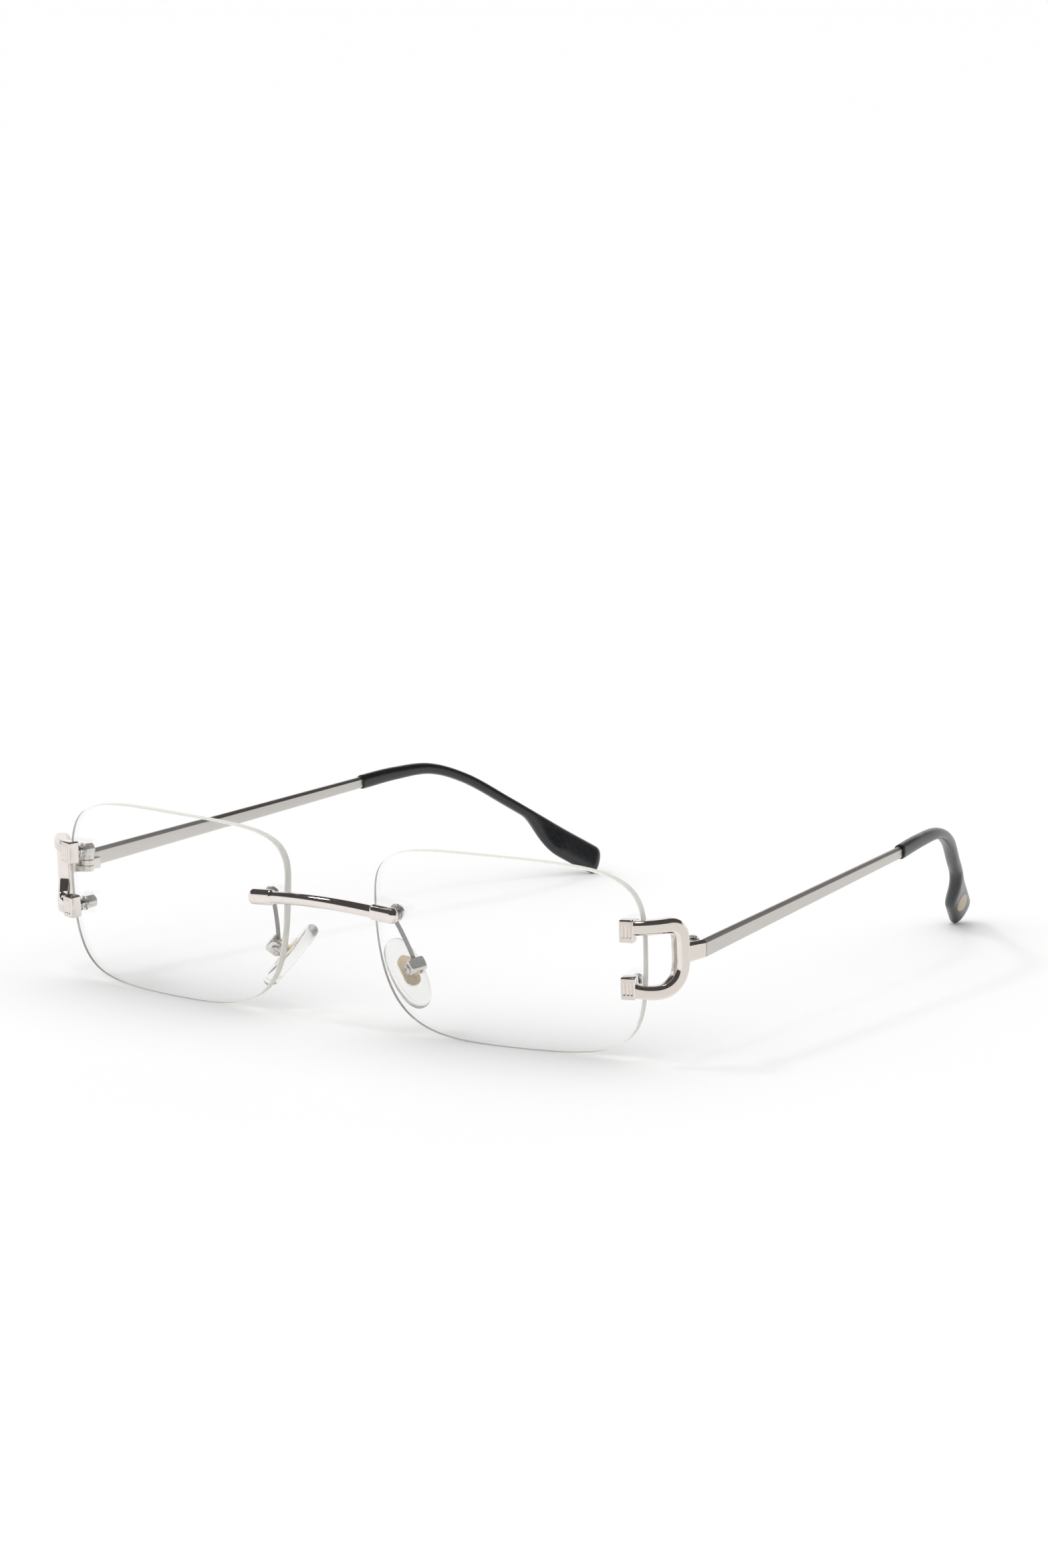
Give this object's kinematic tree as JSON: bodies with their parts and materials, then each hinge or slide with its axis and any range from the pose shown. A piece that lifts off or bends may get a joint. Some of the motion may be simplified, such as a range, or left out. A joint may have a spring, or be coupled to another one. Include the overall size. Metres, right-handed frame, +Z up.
{
  "type": "eyeglasses",
  "caption": "Rimless eyeglasses with clear lenses, a curved metal bridge, D-shaped end brackets, folding metal temples with black tips, and rocking silicone nose pads.",
  "frame": {"origin": "centre of the bounding box at the height of the surface that the lens bottoms and the temple tips stand on", "axes": "+X towards the wearer's left, +Y back along the temples, +Z up"},
  "size_m": [0.1424, 0.1512, 0.035],
  "materials": {
    "clear_lens": "polished, anti-reflective, ground edge",
    "polished_metal": "polished",
    "satin_metal": "satin faces with polished edges",
    "steel_fastener": "machined",
    "gold_metal": "satin gold plate",
    "clear_silicone": "clear and soft",
    "clear_washer": "clear",
    "black_acetate": "semi-gloss"
  },
  "bodies": {
    "front": {"bridge_bar": "polished_metal", "lens_left": "clear_lens", "lens_right": "clear_lens", "bridge_lug_left": "polished_metal", "bridge_lug_right": "polished_metal", "bridge_stud_left": "steel_fastener", "bridge_stud_right": "steel_fastener", "bridge_front_washer_left": "clear_washer", "bridge_front_washer_right": "clear_washer", "bridge_back_washer_left": "clear_washer", "bridge_back_washer_right": "clear_washer", "bridge_nut_left": "steel_fastener", "bridge_nut_right": "steel_fastener", "pad_arm_left": "steel_fastener", "pad_arm_right": "steel_fastener", "pad_box_left": "polished_metal", "pad_box_right": "polished_metal", "pad_screw_left": "steel_fastener", "pad_screw_right": "steel_fastener", "end_bracket_left": "satin_metal", "end_bracket_right": "satin_metal", "bracket_upper_stud_left": "steel_fastener", "bracket_upper_stud_right": "steel_fastener", "bracket_upper_front_washer_left": "clear_washer", "bracket_upper_front_washer_right": "clear_washer", "bracket_upper_back_washer_left": "clear_washer", "bracket_upper_back_washer_right": "clear_washer", "bracket_upper_nut_left": "steel_fastener", "bracket_upper_nut_right": "steel_fastener", "bracket_lower_stud_left": "steel_fastener", "bracket_lower_stud_right": "steel_fastener", "bracket_lower_front_washer_left": "clear_washer", "bracket_lower_front_washer_right": "clear_washer", "bracket_lower_back_washer_left": "clear_washer", "bracket_lower_back_washer_right": "clear_washer", "bracket_lower_nut_left": "steel_fastener", "bracket_lower_nut_right": "steel_fastener", "hinge_front_leaf_left": "satin_metal", "hinge_front_leaf_right": "satin_metal", "hinge_screw_left": "steel_fastener", "hinge_screw_right": "steel_fastener"},
    "pad_left": {"pad_core_left": "gold_metal", "nose_pad_left": "clear_silicone"},
    "pad_right": {"pad_core_right": "gold_metal", "nose_pad_right": "clear_silicone"},
    "temple_left": {"hinge_rear_leaf_left": "satin_metal", "temple_bar_left": "satin_metal", "temple_tip_left": "black_acetate", "tip_inlay_left": "gold_metal"},
    "temple_right": {"hinge_rear_leaf_right": "satin_metal", "temple_bar_right": "satin_metal", "temple_tip_right": "black_acetate", "tip_inlay_right": "gold_metal"}
  },
  "joints": [
    {"name": "temple_fold_left", "type": "hinge", "parent": "front", "child": "temple_left", "pos_m": [0.06815, -0.05511, 0.01975], "axis": [0, 0, 1], "range_deg": [0, 80]},
    {"name": "temple_fold_right", "type": "hinge", "parent": "front", "child": "temple_right", "pos_m": [-0.06815, -0.05511, 0.01975], "axis": [0, 0, -1], "range_deg": [0, 70]},
    {"name": "pad_rock_left", "type": "hinge", "parent": "front", "child": "pad_left", "pos_m": [0.01571, -0.06566, 0.01172], "axis": [0.4662, 0.866, 0.1806], "range_deg": [-9, 9]},
    {"name": "pad_rock_right", "type": "hinge", "parent": "front", "child": "pad_right", "pos_m": [-0.01571, -0.06566, 0.01172], "axis": [0.4662, -0.866, -0.1806], "range_deg": [-9, 9]}
  ]
}
